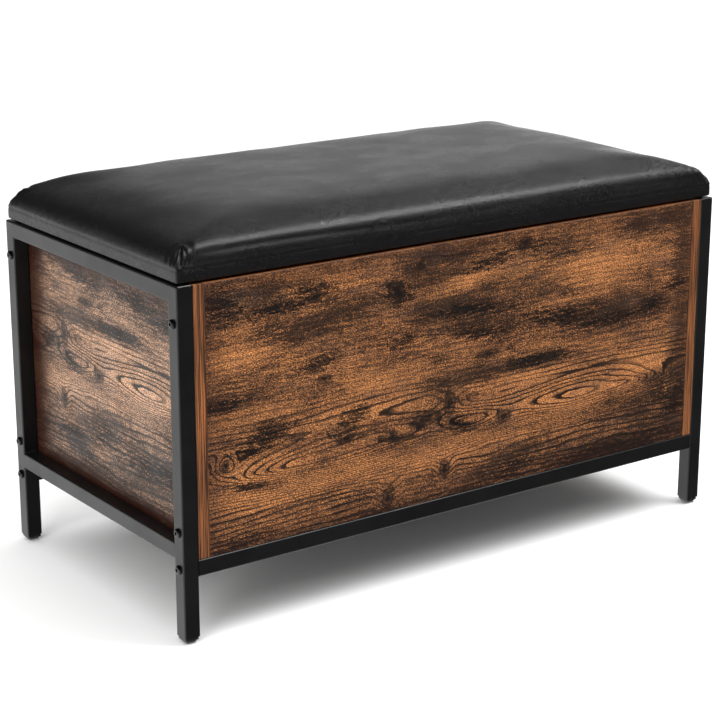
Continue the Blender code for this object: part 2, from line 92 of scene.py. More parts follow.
class Graph:
    """A node tree, with a short call for each kind of node used here."""

    def __init__(self, tree):
        self.tree = tree

    def node(self, kind, inputs, **settings):
        made = self.tree.nodes.new(kind)
        for name, value in settings.items():
            setattr(made, name, value)
        for socket, value in inputs.items():
            if isinstance(value, bpy.types.NodeSocket):
                self.tree.links.new(value, made.inputs[socket])
            else:
                made.inputs[socket].default_value = value
        return made

    def math(self, operation, a, b=0.0):
        return self.node("ShaderNodeMath", {0: a, 1: b}, operation=operation).outputs[0]

    def add(self, *values):
        total = values[0]
        for value in values[1:]:
            total = self.math("ADD", total, value)
        return total

    def times(self, *values):
        total = values[0]
        for value in values[1:]:
            total = self.math("MULTIPLY", total, value)
        return total

    def least(self, *values):
        smallest = values[0]
        for value in values[1:]:
            smallest = self.math("MINIMUM", smallest, value)
        return smallest

    def ramp(self, value, low, high, to_low=0.0, to_high=1.0):
        """Value eased from to_low at low to to_high at high."""
        inputs = {0: value, 1: low, 2: high, 3: to_low, 4: to_high}
        return self.node("ShaderNodeMapRange", inputs, interpolation_type="SMOOTHSTEP").outputs[0]

    def vector(self, operation, a, b):
        return self.node("ShaderNodeVectorMath", {0: a, 1: b}, operation=operation).outputs[0]

    def dot(self, a, b):
        return self.node("ShaderNodeVectorMath", {0: a, 1: b}, operation="DOT_PRODUCT").outputs[1]

    def mix(self, factor, a, b, blend="MIX"):
        inputs = {0: factor, 6: a, 7: b}
        return self.node("ShaderNodeMix", inputs, data_type="RGBA", blend_type=blend).outputs[2]

    def noise(self, place, size, detail=2.0, rough=0.5, out=0):
        """Noise whose features are about size long on each axis, in place's units."""
        scaled = self.vector("DIVIDE", place, size)
        inputs = {"Vector": scaled, "Scale": 1.0, "Detail": detail, "Roughness": rough}
        return self.node("ShaderNodeTexNoise", inputs).outputs[out]

    def bump(self, height, depth, normal=None):
        inputs = {"Height": height, "Strength": 1.0, "Distance": depth}
        if normal is not None:
            inputs["Normal"] = normal
        return self.node("ShaderNodeBump", inputs).outputs[0]

    def place(self):
        """Where a point is on the bench, in millimetres."""
        coordinate = self.node("ShaderNodeTexCoord", {}).outputs["Object"]
        return self.vector("MULTIPLY", coordinate, (1000, 1000, 1000))


def material(name, roughness, metallic=0.0, specular=0.5):
    """A new material, its graph and a function that connects values to its shader."""
    made = bpy.data.materials.new(name)
    made.use_nodes = True
    shader = made.node_tree.nodes["Principled BSDF"]
    shader.inputs["Roughness"].default_value = roughness
    shader.inputs["Metallic"].default_value = metallic
    shader.inputs["Specular IOR Level"].default_value = specular
    graph = Graph(made.node_tree)

    def connect(**values):
        for socket, value in values.items():
            made.node_tree.links.new(value, shader.inputs[socket.replace("_", " ")])

    return made, graph, connect


def wear(obj, made):
    """Puts a material on a piece or a CAD node."""
    if not obj.data.materials:
        obj.data.materials.append(made)
    for slot in obj.material_slots:
        slot.material = made


# Marks of the printed board, in millimetres along and across the grain from its large knot:
# (along, across, half length, half width, tilt in degrees). Smudges are dark stains, and lights and
# shades make the print paler or darker.
KNOTS = (
    (0, 2, 8, 15, 10), (-36, -11, 21, 8, 4), (57, 54, 17, 5, 0), (-7, -80, 7, 10, 0),
    (-92, -100, 8, 13, -10), (-318, -13, 4, 6, 0), (-80, 152, 11, 12, 0), (-193, 163, 12, 5, 6),
    (-183, 64, 9, 5, 0), (-80, -27, 25, 4, -3), (84, -31, 11, 7, 20), (112, 183, 8, 9, -20),
    (7, 120, 5, 4, 0), (-152, -13, 12, 4, 12), (-45, 179, 5, 4, 0),
)
SMUDGES = (
    (-265, 8, 44, 20, 14), (-146, 8, 36, 16, 22), (-190, 84, 40, 12, 12), (-74, 90, 24, 10, 0),
    (40, 84, 52, 12, -6), (168, 82, 66, 16, -3), (250, 66, 60, 10, 0), (322, 72, 32, 13, 10),
    (366, 96, 30, 10, 0), (-322, 168, 34, 22, -12), (-236, 158, 60, 9, 4), (-196, 172, 40, 7, 0),
    (118, 180, 40, 11, -8), (60, 168, 46, 10, 12), (-78, 148, 24, 18, 0), (250, -112, 150, 16, 2),
    (96, -104, 46, 14, 12), (20, -120, 60, 12, 4), (-120, -118, 60, 8, 4), (-300, -112, 50, 12, 8),
    (374, -60, 30, 26, 0), (12, -26, 38, 11, -20), (35, -134, 46, 14, -8), (180, -170, 90, 20, 0),
    (-280, -45, 40, 7, -6), (30, 112, 70, 9, -4), (-320, 56, 44, 9, 4), (140, 34, 70, 9, 0),
)
LIGHTS = (
    (222, 135, 66, 22, 0), (-109, 30, 70, 22, 6), (-190, -56, 120, 14, 2), (-20, -60, 90, 14, 0),
    (120, 12, 90, 10, 0), (-300, 108, 50, 14, 4), (300, 0, 60, 18, 0), (206, -27, 110, 20, 0),
    (20, 150, 50, 9, 8), (170, 104, 60, 8, 0), (-270, -30, 56, 14, 0),
)
SHADES = (
    (-190, 132, 90, 16, 3), (-60, 150, 70, 14, 3), (-300, 172, 70, 24, -4), (70, 112, 150, 26, -4),
    (250, 78, 130, 24, 0), (290, -104, 150, 24, 0), (240, -128, 150, 20, 2), (330, -84, 70, 16, 0),
    (320, -50, 80, 26, 0), (376, 20, 16, 150, 0), (-352, 150, 16, 60, 0), (40, 30, 150, 10, 0),
    (-10, 175, 60, 20, 0), (-330, 60, 60, 10, 0), (80, -90, 60, 12, 10), (-150, -125, 200, 12, 0),
    (70, -175, 160, 34, 0), (330, 180, 60, 14, 0),
)
# The same, with how many rings of grain close round the middle
SWIRLS = (
    (-140, -31, 190, 27, 0, 9), (-240, -30, 60, 10, 2, 2), (206, -27, 125, 22, 0, 8.5),
    (304, -27, 40, 9, 0, 1.6), (34, -30, 44, 17, 0, 3.6), (-318, -13, 13, 13, 0, 2.4),
    (0, 4, 20, 24, 0, 1.5), (-7, -80, 13, 17, 0, 1.8), (-92, -100, 16, 22, 0, 2.0), (57, 54, 40, 9, 0, 1.2),
    (-80, 152, 30, 16, 0, 1.2),
)
# Cracks along the grain: (from, to, height at each of them)
CRACKS = (
    (57, 244, 156, 163), (-56, 57, 187, 181), (-61, 47, 94, 82), (-60, -18, 124, 128), (250, 340, -115, -111),
)

MARK_REACH = 2.4  # how far a mark is felt, in half lengths and half widths
SWIRL_REACH = 1.75  # the same for a swirl's closed rings
RING_PITCH = 7.0  # millimetres from one growth ring to the next
CRACK_FADE = 25  # millimetres over which a crack opens at each end

TAN = shade(204, 132, 72)
BROWN = shade(98, 62, 36)
UMBER = shade(42, 28, 19)
SOOT = shade(18, 14, 12)
DUSK = shade(86, 66, 56)


def spot(graph, place, mark):
    """How near a place is to a mark: 1 at its middle and 0 from MARK_REACH times its ellipse outwards."""
    along, across, length, width, tilt = mark[:5]
    inputs = {"Vector": place, "Location": (along, across, 0), "Rotation": (0, 0, math.radians(tilt)),
              "Scale": (MARK_REACH * length, MARK_REACH * width, 1)}
    local = graph.node("ShaderNodeMapping", inputs, vector_type="TEXTURE").outputs[0]
    return graph.node("ShaderNodeTexGradient", {0: local}, gradient_type="SPHERICAL").outputs[1]


def nearest(graph, place, marks):
    """Distance to the nearest mark: 0 at its middle, 1 on the rim of its ellipse."""
    best = spot(graph, place, marks[0])
    for mark in marks[1:]:
        best = graph.math("MAXIMUM", best, spot(graph, place, mark))
    return graph.times(graph.math("SUBTRACT", 1.0, best), MARK_REACH)


def decor(graph, place):
    """Colour and relief of the printed rustic board. place is in millimetres from its large knot."""

    def even(size, detail=2.0, rough=0.5, where=place):
        """Noise stretched to run from about -1 to 1."""
        value = graph.noise(where, size, detail, rough)
        inputs = {0: value, 1: 0.25, 2: 0.75, 3: -1.0, 4: 1.0}
        return graph.node("ShaderNodeMapRange", inputs).outputs[0]

    drift = graph.noise(place, (60, 20, 40), 3.0, 0.55, out=1)
    drift = graph.vector("MULTIPLY", graph.vector("SUBTRACT", drift, (0.5, 0.5, 0.5)), (16, 7, 0))
    bent = graph.vector("ADD", place, drift)
    across = graph.node("ShaderNodeSeparateXYZ", {0: bent}).outputs[1]

    # Growth rings: level lines of a slope with hills where the grain closes round a knot
    level = graph.add(graph.math("DIVIDE", across, RING_PITCH), graph.times(even((300, 40, 40), 1.0), 1.1))
    for mark in SWIRLS:
        hill = graph.ramp(spot(graph, bent, mark), 1 - SWIRL_REACH / MARK_REACH, 1.0, 0.0, mark[5])
        level = graph.add(level, hill)
    level = graph.add(level, graph.times(even((22, 2.5, 10), 2.0), 0.07))
    ring = graph.math("FRACT", level)
    ring = graph.times(graph.ramp(ring, 0.5, 0.84), graph.ramp(ring, 0.93, 1.0, 1.0, 0.0))
    fine = graph.math("FRACT", graph.times(level, 4.0))
    fine = graph.times(graph.ramp(fine, 0.3, 0.8), graph.ramp(fine, 0.85, 1.0, 1.0, 0.0))
    fibre = even((9, 0.8, 8), 2.0, 0.6)
    speck = even((2.1, 1.5, 2), 1.0, 0.5)
    mottle = even((9, 4, 6), 4.0, 0.75)
    cloud = even((110, 22, 40), 5.0, 0.7, bent)
    drag = even((34, 3.2, 10), 4.0, 0.75)
    patch = even((70, 50, 40), 3.0, 0.6)
    marks = graph.times(even((2.2, 34, 10), 2.0, 0.6), even((60, 60, 60)))  # faint saw marks

    lit = graph.ramp(nearest(graph, bent, LIGHTS), 1.8, 0.2, 0.0, 0.7)
    dim = graph.ramp(nearest(graph, bent, SHADES), 1.7, 0.3, 0.0, -0.65)
    tone = graph.add(
        graph.times(cloud, 0.6), graph.times(mottle, 0.6), graph.times(speck, -0.75), graph.times(drag, 0.6),
        graph.times(marks, 0.5), graph.times(patch, 0.35), lit, dim, -0.3)
    colour = graph.mix(graph.ramp(tone, -1.0, 1.5), BROWN, TAN)
    colour = graph.mix(graph.ramp(tone, -0.1, -1.2, 0.0, 0.9), colour, UMBER)
    dusty = graph.ramp(graph.add(patch, graph.times(cloud, -0.6)), 0.1, 0.9, 0.0, 0.35)
    colour = graph.mix(dusty, colour, DUSK)

    lower = graph.ramp(across, 60.0, 0.0, 0.35, 1.0)
    strong = graph.times(graph.ramp(even((130, 40, 40), 1.0), -0.7, 0.4, 0.55, 1.0), lower)
    colour = graph.mix(graph.times(ring, strong), colour, UMBER)
    colour = graph.mix(graph.times(ring, ring, strong, 0.45), colour, SOOT)
    colour = graph.mix(graph.times(fine, graph.ramp(patch, -0.6, 0.6, 0.1, 0.3)), colour, UMBER)
    colour = graph.mix(graph.ramp(fibre, 0.0, 0.9, 0.0, 0.5), colour, UMBER)

    # Dark smudges that break up into specks at their rims
    smudge = graph.ramp(nearest(graph, bent, SMUDGES), 1.9, 0.1)
    ragged = graph.add(smudge, graph.times(mottle, -0.4), graph.times(speck, 0.3), graph.times(drag, -0.35))
    dirt = graph.times(graph.ramp(ragged, 0.35, 1.05, 0.0, 0.92), graph.ramp(smudge, 0.0, 0.3))
    colour = graph.mix(dirt, colour, SOOT)
    pores = graph.ramp(speck, 0.28, 0.8, 0.0, 0.72)
    colour = graph.mix(graph.times(pores, graph.ramp(mottle, -0.8, 0.6, 0.3, 1.0)), colour, SOOT)
    grit = even((2.2, 1.0, 2), 1.0, 0.5)
    colour = graph.mix(1.0, colour, graph.ramp(grit, -0.8, 0.8, 1.75, 0.25), "MULTIPLY")

    knot = nearest(graph, bent, KNOTS)
    knot = graph.add(knot, graph.times(mottle, 0.22), graph.times(drag, 0.12), graph.times(speck, -0.12))
    colour = graph.mix(graph.ramp(knot, 1.7, 0.7, 0.0, 0.6), colour, UMBER)
    rim = graph.times(graph.ramp(knot, 1.25, 1.05), graph.ramp(knot, 0.7, 0.9))
    colour = graph.mix(graph.add(graph.ramp(knot, 0.75, 0.35, 0.0, 0.8), graph.times(rim, 0.6)), colour, SOOT)

    split = 0.0
    parts = graph.node("ShaderNodeSeparateXYZ", {0: place})
    wander = graph.times(even((34, 400, 40), 4.0, 0.6), 3.2)
    for start, end, low, high in CRACKS:
        climbed = graph.times(graph.math("SUBTRACT", parts.outputs[0], start), (high - low) / (end - start))
        height = graph.add(climbed, low, wander)
        off = graph.math("ABSOLUTE", graph.math("SUBTRACT", parts.outputs[1], height))
        inside = graph.times(graph.ramp(parts.outputs[0], start, start + CRACK_FADE),
                             graph.ramp(parts.outputs[0], end, end - CRACK_FADE))
        split = graph.math("MAXIMUM", split, graph.times(graph.ramp(off, 1.5, 0.3), inside))
    colour = graph.mix(graph.times(split, graph.ramp(mottle, -0.5, 0.3, 0.3, 0.95)), colour, SOOT)

    relief = graph.add(graph.times(ring, -0.5), graph.times(pores, -0.8), graph.times(fibre, -0.25),
                       graph.times(split, -0.9))
    return colour, relief


# Each board: the way its grain runs, the way the print climbs, where its large knot would be in
# millimetres, and the axis through the board's thickness
BOARDS = {
    "front_panel": ((1, 0, 0), (0, 0, 1), (-26, 0, 217), "Y"),
    "rear_panel": ((1, 0, 0), (0, 0, -1), (40, 0, 250), "Y"),
    "side_panel_left": ((0, -1, 0), (0, 0, 1), (0, 100, 291), "X"),
    "side_panel_right": ((0, -1, 0), (0, 0, -1), (0, -40, 205), "X"),
    "bottom_panel": ((-1, 0, 0), (0, 1, 0), (90, -40, 0), "Z"),
}
PAINTED_SHADE_REACH, PAINTED_SHADE_FULL = 46.0, 12.0  # painted shade darkens the print between these, in millimetres from its edge
TUBE_COVERS = 18.0  # millimetres of a side board's rim that the tubes hide


def board_material(name, along, across, knot, face):
    """The printed board called name, whose edges wear a band with its own fine straight grain.
    Painted shade darkens the print towards its rims, as if the frame round the board shaded them. On a
    side board a painted reflection makes the print paler, and its painted shade starts inside the tubes
    that cover the rims and reaches further in from the rear edge. The bottom board has plain grey paper
    on its lower side."""
    side = name.startswith("side_")
    made, graph, connect = material(name, 0.5, specular=0.3)
    place = graph.place()
    from_knot = graph.vector("SUBTRACT", place, knot)
    rows = [graph.dot(from_knot, axis) for axis in (along, across)]
    flat = graph.node("ShaderNodeCombineXYZ", {0: rows[0], 1: rows[1], 2: 0.0}).outputs[0]
    colour, relief = decor(graph, flat)

    # How far from the board's nearest edge, made ragged, for the painted shade along the rims
    low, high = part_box(name)
    edges = []
    for row, axis, stretch in zip(rows, (along, across), (0.6 if side else 1.0, 1.0)):
        ends = sorted((corner / MM - Vector(knot)).dot(Vector(axis)) for corner in (low, high))
        near = graph.times(graph.math("SUBTRACT", row, ends[0]), stretch)
        edges += [near, graph.math("SUBTRACT", ends[1], row)]
    wander = graph.times(graph.noise(place, (30, 30, 30), 3.0), 24.0)
    rim = graph.add(graph.least(*edges), wander, -TUBE_COVERS if side else 0.0)
    # Painted reflection: a side board's print is made brighter and less saturated, like a haze of studio
    # light on it
    if side:
        painted_haze = {"Hue": 0.508, "Saturation": 0.74, "Value": 1.25, "Color": colour}
        colour = graph.node("ShaderNodeHueSaturation", painted_haze).outputs[0]
    # Painted shade: the print turns dark red-brown towards the rims, most on the side boards
    painted_shade_depth = 0.92 if side else 0.45
    colour = graph.mix(graph.ramp(rim, PAINTED_SHADE_REACH, PAINTED_SHADE_FULL, 0.0, painted_shade_depth), colour, shade(44, 20, 12))

    # The edge band's grain is fine through the board and long the other ways
    fine = ["XYZ"[n] == face for n in range(3)]
    grain = graph.noise(place, tuple(0.7 if thin else 90.0 for thin in fine), 3.0, 0.65)
    streak = graph.noise(place, tuple(1.82 if thin else 90.0 for thin in fine), 2.0)
    band = graph.mix(graph.ramp(grain, 0.4, 0.6), shade(150, 90, 46), shade(50, 30, 18))
    band = graph.mix(graph.ramp(streak, 0.5, 0.66, 0.0, 0.75), band, shade(42, 27, 20))
    normal = graph.node("ShaderNodeTexCoord", {}).outputs["Normal"]
    facing = graph.node("ShaderNodeSeparateXYZ", {0: normal}).outputs["XYZ".index(face)]
    on_edge = graph.math("LESS_THAN", graph.math("ABSOLUTE", facing), 0.35)
    colour = graph.mix(on_edge, colour, band)
    if name == "bottom_panel":
        paper = graph.mix(graph.noise(place, (12, 9, 9), 4.0), shade(92, 91, 90), shade(78, 77, 76))
        colour = graph.mix(graph.math("LESS_THAN", facing, -0.7), colour, paper)
    rough = graph.ramp(graph.noise(place, (30, 30, 30), 3.0), 0.3, 0.7, 0.4, 0.54)
    connect(Base_Color=colour, Roughness=rough, Normal=graph.bump(relief, 0.08 * MM))
    return made


def powder_coat():
    """Satin black powder coat: a fine orange peel with slight changes of gloss."""
    made, graph, connect = material("powder_coat", 0.42)
    place = graph.place()
    peel = graph.noise(place, (1.5, 1.5, 1.5), 2.0, 0.55)
    broad = graph.noise(place, (60, 60, 60), 3.0)
    connect(Base_Color=graph.mix(graph.ramp(broad, 0.3, 0.7), shade(12, 12, 13), shade(17, 17, 18)),
            Roughness=graph.ramp(broad, 0.3, 0.7, 0.33, 0.42),
            Normal=graph.bump(peel, 0.05 * MM))
    return made


def metal(name, light, dark, roughness, streaks):
    """Plated or oxidised metal with fine marks. streaks is the marks' length on each axis."""
    made, graph, connect = material(name, roughness, metallic=1.0)
    place = graph.place()
    marks = graph.noise(place, streaks, 3.0, 0.6)
    cloud = graph.noise(place, (9, 9, 9), 3.0)
    connect(Base_Color=graph.mix(graph.ramp(cloud, 0.35, 0.65), light, dark),
            Roughness=graph.ramp(marks, 0.3, 0.7, roughness - 0.06, roughness + 0.1),
            Normal=graph.bump(marks, 0.02 * MM))
    return made


def dull(name, light, dark, roughness, grain, depth):
    """Moulded plastic, rubber, raw board or cloth: two tones and a grain."""
    made, graph, connect = material(name, roughness)
    place = graph.place()
    fine = graph.noise(place, grain, 3.0, 0.6)
    connect(Base_Color=graph.mix(graph.ramp(fine, 0.35, 0.65), light, dark),
            Roughness=graph.ramp(fine, 0.3, 0.7, roughness - 0.05, roughness + 0.05),
            Normal=graph.bump(fine, depth))
    return made


def leather_material():
    """Black faux leather: small rounded cells with fine creases between them."""
    made, graph, connect = material("faux_leather", 0.32)
    place = graph.place()
    shift = graph.vector("MULTIPLY", graph.noise(place, (2.2, 2.2, 2.2), 2.0, out=1), (1.1, 1.1, 1.1))
    bent = graph.vector("ADD", place, shift)
    inputs = {"Vector": graph.vector("DIVIDE", bent, (1.5, 1.5, 1.5)), "Scale": 1.0}
    cells = graph.node("ShaderNodeTexVoronoi", inputs, feature="DISTANCE_TO_EDGE").outputs["Distance"]
    cells = graph.ramp(cells, 0.0, 0.22)
    pull = graph.noise(place, (28, 9, 12), 3.0, 0.6)
    broad = graph.noise(place, (90, 60, 60), 2.0)
    relief = graph.bump(cells, 0.13 * MM)
    relief = graph.bump(pull, 0.28 * MM, relief)
    connect(Base_Color=graph.mix(cells, shade(8, 8, 9), shade(17, 17, 18)),
            Roughness=graph.add(graph.ramp(broad, 0.3, 0.7, 0.27, 0.36), graph.times(cells, -0.04)),
            Normal=relief)
    return made


# ---------------------------------------------------------------- seat


def profile(reach, exponent):
    """How far in and how high (0 to 1) the seat's rows of points are, from its edge to its middle."""
    angle = np.linspace(0, math.pi / 2, 4000)
    inset = reach * (1 - np.cos(angle) ** (2 / exponent))
    lift = np.sin(angle) ** (2 / exponent)
    step = np.hypot(np.diff(inset), np.diff(lift) * (CROWN - BAND))
    spacing = FINE + (COARSE - FINE) * smooth(inset[1:], 10 * MM, 90 * MM)
    count = np.concatenate([[0], np.cumsum(step / spacing)])
    rows = np.linspace(0, count[-1], int(count[-1]) + 1)
    return np.interp(rows, count, inset), np.interp(rows, count, lift)


def both_ways(half, inset, lift):
    """A profile's rows right across the seat, as offsets from its middle, and their lift."""
    if half - inset[-1] > COARSE:
        extra = np.linspace(inset[-1], half, int((half - inset[-1]) / COARSE) + 1)[1:]
        inset, lift = np.concatenate([inset, extra]), np.concatenate([lift, np.ones(len(extra))])
    offset = half - inset
    return (np.concatenate([-offset, offset[-2::-1]]), np.concatenate([lift, lift[-2::-1]]))


def rounded(x, y, half, radius):
    """Moves points of a rectangle near its corners on to a rounded corner of that radius."""
    dx = np.maximum(np.abs(x) - (half[0] - radius), 0)
    dy = np.maximum(np.abs(y) - (half[1] - radius), 0)
    length = np.hypot(dx, dy)
    shrink = np.where(length > 0, np.maximum(dx, dy) / np.maximum(length, 1e-9), 1)
    return (np.sign(x) * (np.abs(x) - dx + dx * shrink), np.sign(y) * (np.abs(y) - dy + dy * shrink))


def quads(bm, grid):
    """Faces between the vertices of a grid."""
    for one, two in zip(grid, grid[1:]):
        for j in range(len(one) - 1):
            bm.faces.new((one[j], two[j], two[j + 1], one[j + 1]))


def rim_of(nx, ny):
    """The indices round the edge of an nx by ny grid, in order."""
    return ([(i, 0) for i in range(nx - 1)] + [(nx - 1, j) for j in range(ny - 1)]
            + [(i, ny - 1) for i in range(nx - 1, 0, -1)] + [(0, j) for j in range(ny - 1, 0, -1)])


def seat_mesh(low, high, board):
    """The seat's skin, open at the pocket's top: the crowned top, the flat band, the flange under the lid
    board and the pocket that the board fills. low and high are the cover's corners, board the board's."""
    half = np.array([(high.x - low.x) / 2, (high.y - low.y) / 2])
    middle = np.array([(high.x + low.x) / 2, (high.y + low.y) / 2])
    xs, x_lift = both_ways(half[0], *profile(END_SLOPE, END_ROUND))
    ys, y_lift = both_ways(half[1], *profile(half[1], EDGE_ROUND))
    grid_x, grid_y = np.meshgrid(xs, ys, indexing="ij")
    fall_x = (1 - x_lift[:, None]) ** CORNER_FULL
    fall_y = (1 - y_lift[None, :]) ** CORNER_FULL
    lift = 1 - np.minimum(fall_x + fall_y, 1) ** (1 / CORNER_FULL)
    radius = BAND_CORNER + (SEAT_CORNER - BAND_CORNER) * smooth(lift, 0.0, 0.45)
    top_x, top_y = rounded(grid_x, grid_y, half, radius)

    bm = bmesh.new()
    nx, ny = len(xs), len(ys)
    grid = [[bm.verts.new((top_x[i, j] + middle[0], top_y[i, j] + middle[1],
                           low.z + BAND + (CROWN - BAND) * lift[i, j]))
             for j in range(ny)] for i in range(nx)]
    quads(bm, grid)
    rim = rim_of(nx, ny)
    ring = [grid[i][j] for i, j in rim]
    edge_x = np.array([xs[i] for i, _ in rim])
    edge_y = np.array([ys[j] for _, j in rim])
    flange = FLANGE / MM
    pocket = (half[0] - (board[1].x - middle[0])) / MM - BOARD_SLACK
    # Rows down the band, round its lower edge, in along the flange, and up into the board's pocket:
    # (inset, height) in millimetres
    rows = ((0.5, 14.0), (0.1, 12.5), (0.0, 9.0), (0.0, 5.0), (0.0, 2.2), (0.3, 0.8), (1.2, 0.1), (3.0, 0.0),
            (9.0, 0.0), (15.0, 0.0), (flange - 0.4, 0.0), (flange, 0.25), (flange, 1.1),
            (pocket, 1.2), (pocket, (board[1].z - low.z) / MM + BOARD_SLACK))
    for inset, height in rows:
        inner = half - inset * MM
        x, y = rounded(edge_x * inner[0] / half[0], edge_y * inner[1] / half[1], inner, BAND_CORNER)
        lower = [bm.verts.new((a + middle[0], b + middle[1], low.z + height * MM)) for a, b in zip(x, y)]
        for k in range(len(ring)):
            after = (k + 1) % len(ring)
            bm.faces.new((ring[after], ring[k], lower[k], lower[after]))
        ring = lower
    mesh = bpy.data.meshes.new("seat")
    bm.to_mesh(mesh)
    bm.free()
    return mesh


def points_of(mesh):
    """The places of a mesh's points, one a row."""
    points = np.empty(len(mesh.vertices) * 3)
    mesh.vertices.foreach_get("co", points)
    return points.reshape(-1, 3)


def set_points(mesh, points):
    mesh.vertices.foreach_set("co", points.ravel())
    mesh.update()


def baked(obj):
    """Replaces an object's mesh by its evaluated one and drops its modifiers."""
    mesh = bpy.data.meshes.new_from_object(obj.evaluated_get(bpy.context.evaluated_depsgraph_get()))
    obj.modifiers.clear()
    obj.data = mesh


def close(mesh):
    """Fills the mesh's one open loop and turns its faces outwards."""
    bm = bmesh.new()
    bm.from_mesh(mesh)
    bmesh.ops.edgeloop_fill(bm, edges=[e for e in bm.edges if e.is_boundary])
    bmesh.ops.recalc_face_normals(bm, faces=bm.faces)
    bm.to_mesh(mesh)
    bm.free()


def evened(mesh, values, rounds):
    """Averages each point's value with its neighbours', rounds times over."""
    ends = np.empty(len(mesh.edges) * 2, int)
    mesh.edges.foreach_get("vertices", ends)
    ends = ends.reshape(-1, 2)
    degree = np.bincount(ends.ravel(), minlength=len(values))[:, None]
    for _ in range(rounds):
        total = np.zeros_like(values)
        np.add.at(total, ends[:, 0], values[ends[:, 1]])
        np.add.at(total, ends[:, 1], values[ends[:, 0]])
        values = (values + total / degree) / 2
    return values


PRESSURE = 4  # of the air in the padding
BLOWN_FRAMES = 20
EVEN_ROUNDS = 12  # how often the points' movements are averaged


def inflate(obj, held):
    """Blows the padding up a little with the cloth solver. held marks the points that stay put."""
    start = points_of(obj.data)
    group = obj.vertex_groups.new(name="held")
    group.add([int(i) for i in np.flatnonzero(held)], 1.0, "REPLACE")
    cloth = obj.modifiers.new("cloth", "CLOTH")
    cloth.settings.quality = 6
    cloth.settings.mass = 0.4
    cloth.settings.tension_stiffness = cloth.settings.compression_stiffness = 80
    cloth.settings.shear_stiffness = 40
    cloth.settings.bending_stiffness = 6
    cloth.settings.air_damping = 3
    cloth.settings.effector_weights.gravity = 0
    cloth.settings.use_pressure = True
    cloth.settings.uniform_pressure_force = PRESSURE
    cloth.settings.vertex_group_mass = "held"
    scene = bpy.context.scene
    scene.frame_start = 1
    scene.frame_end = BLOWN_FRAMES
    for frame_number in range(1, BLOWN_FRAMES + 1):
        scene.frame_set(frame_number)
    baked(obj)
    scene.frame_set(1)
    moved = points_of(obj.data) - start
    length = np.linalg.norm(moved, axis=1)
    moved *= (np.minimum(length, SWELL) / np.maximum(length, 1e-9))[:, None]
    moved = evened(obj.data, moved, EVEN_ROUNDS)
    set_points(obj.data, start + moved)


# Folds round a corner: (along the rim from the corner's middle, depth, half width), in millimetres
PLEATS = ((-22, 0.5, 3.4), (-11, 1.3, 2.3), (-4, 1.5, 1.8), (3.5, 2.2, 2.0), (10, 1.5, 2.0), (18, 0.8, 3.0))
PLEATS_SPREAD = 60 * MM  # how far along the sides from the corner they reach
PLEATS_END = 36 * MM, 50 * MM  # heights between which they die out


def pleats(points, low, high):
    """How far the corner folds push each point in, in metres."""
    half_x, half_y = (high.x - low.x) / 2, (high.y - low.y) / 2
    x = points[:, 0] - (high.x + low.x) / 2
    y = points[:, 1] - (high.y + low.y) / 2
    height = points[:, 2] - low.z
    dx = np.abs(x) - (half_x - SEAT_CORNER)
    dy = np.abs(y) - (half_y - SEAT_CORNER)
    angle = np.arctan2(np.maximum(dy, 0), np.maximum(dx, 0))
    along = SEAT_CORNER * (angle - math.pi / 4)
    along += np.where(dx < 0, -dx, 0) * (dy > 0) - np.where(dy < 0, -dy, 0) * (dx > 0)
    near = (dx > -PLEATS_SPREAD) & (dy > -PLEATS_SPREAD) & ((dx > 0) | (dy > 0))
    climb = np.clip((height - BAND) / (CROWN - BAND), 0, 1)
    reach = smooth(height, BAND, BAND + 6 * MM) * (1 - smooth(height, *PLEATS_END))
    push = np.zeros(len(points))
    for number, (where, depth, width) in enumerate(PLEATS):
        fan = where * (0.75 + 0.7 * climb) * MM
        off = (along - fan) / (width * MM)
        share = 1.0 if number % 2 else 0.8
        lips = np.exp(-(np.abs(off) - 2.0) ** 2)
        push += depth * MM * share * (np.exp(-off ** 2) - 0.45 * lips)
    return push * reach * near


WAVES = ((0.55, 13), (0.25, 34))  # height in millimetres and how many to the metre


def undulate(points, low):
    """Slow waves of the leather, and the slack furrow along the front under the padding's edge, deepest
    near the left corner. In metres along the surface's normal."""
    wave = sum(np.array([size * noise.noise(Vector(p) * pitch) for p in points]) for size, pitch in WAVES)
    height = points[:, 2] - low.z
    front = smooth(points[:, 1] - low.y, 12 * MM, 4 * MM)
    along = points[:, 0] - low.x
    depth = smooth(along, 18 * MM, 50 * MM) * (0.25 + 0.75 * (1 - smooth(along, 120 * MM, 380 * MM)))
    above = height - (FURROW + 1.5 * MM * np.sin(along / (70 * MM)))
    furrow = np.exp(-(above / (3.4 * MM)) ** 2) - 0.6 * np.exp(-((above + 6 * MM) / (4 * MM)) ** 2)
    return MM * (wave * smooth(height, 17 * MM, 34 * MM) - 0.9 * furrow * front * depth)


def make_seat():
    """The padded seat: blown up, refined once, then waved and folded."""
    low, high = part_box("leather_cover")
    seat = bpy.data.objects.new("padded_seat", seat_mesh(low, high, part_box("lid_board")))
    bpy.context.scene.collection.objects.link(seat)
    inflate(seat, points_of(seat.data)[:, 2] < low.z + BAND + 0.5 * MM)
    level = seat.modifiers.new("level", "SUBSURF")
    level.levels = level.render_levels = 1
    baked(seat)
    points = points_of(seat.data)
    normals = np.empty(len(points) * 3)
    seat.data.vertices.foreach_get("normal", normals)
    push = undulate(points, low) - pleats(points, low, high)
    points += normals.reshape(-1, 3) * push[:, None]
    set_points(seat.data, points)
    close(seat.data)
    for face in seat.data.polygons:
        face.use_smooth = True
    wear(seat, leather_material())
    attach(seat, "lid")
    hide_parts("leather_cover", "seat_foam")


# ---------------------------------------------------------------- underside of the lid and frame

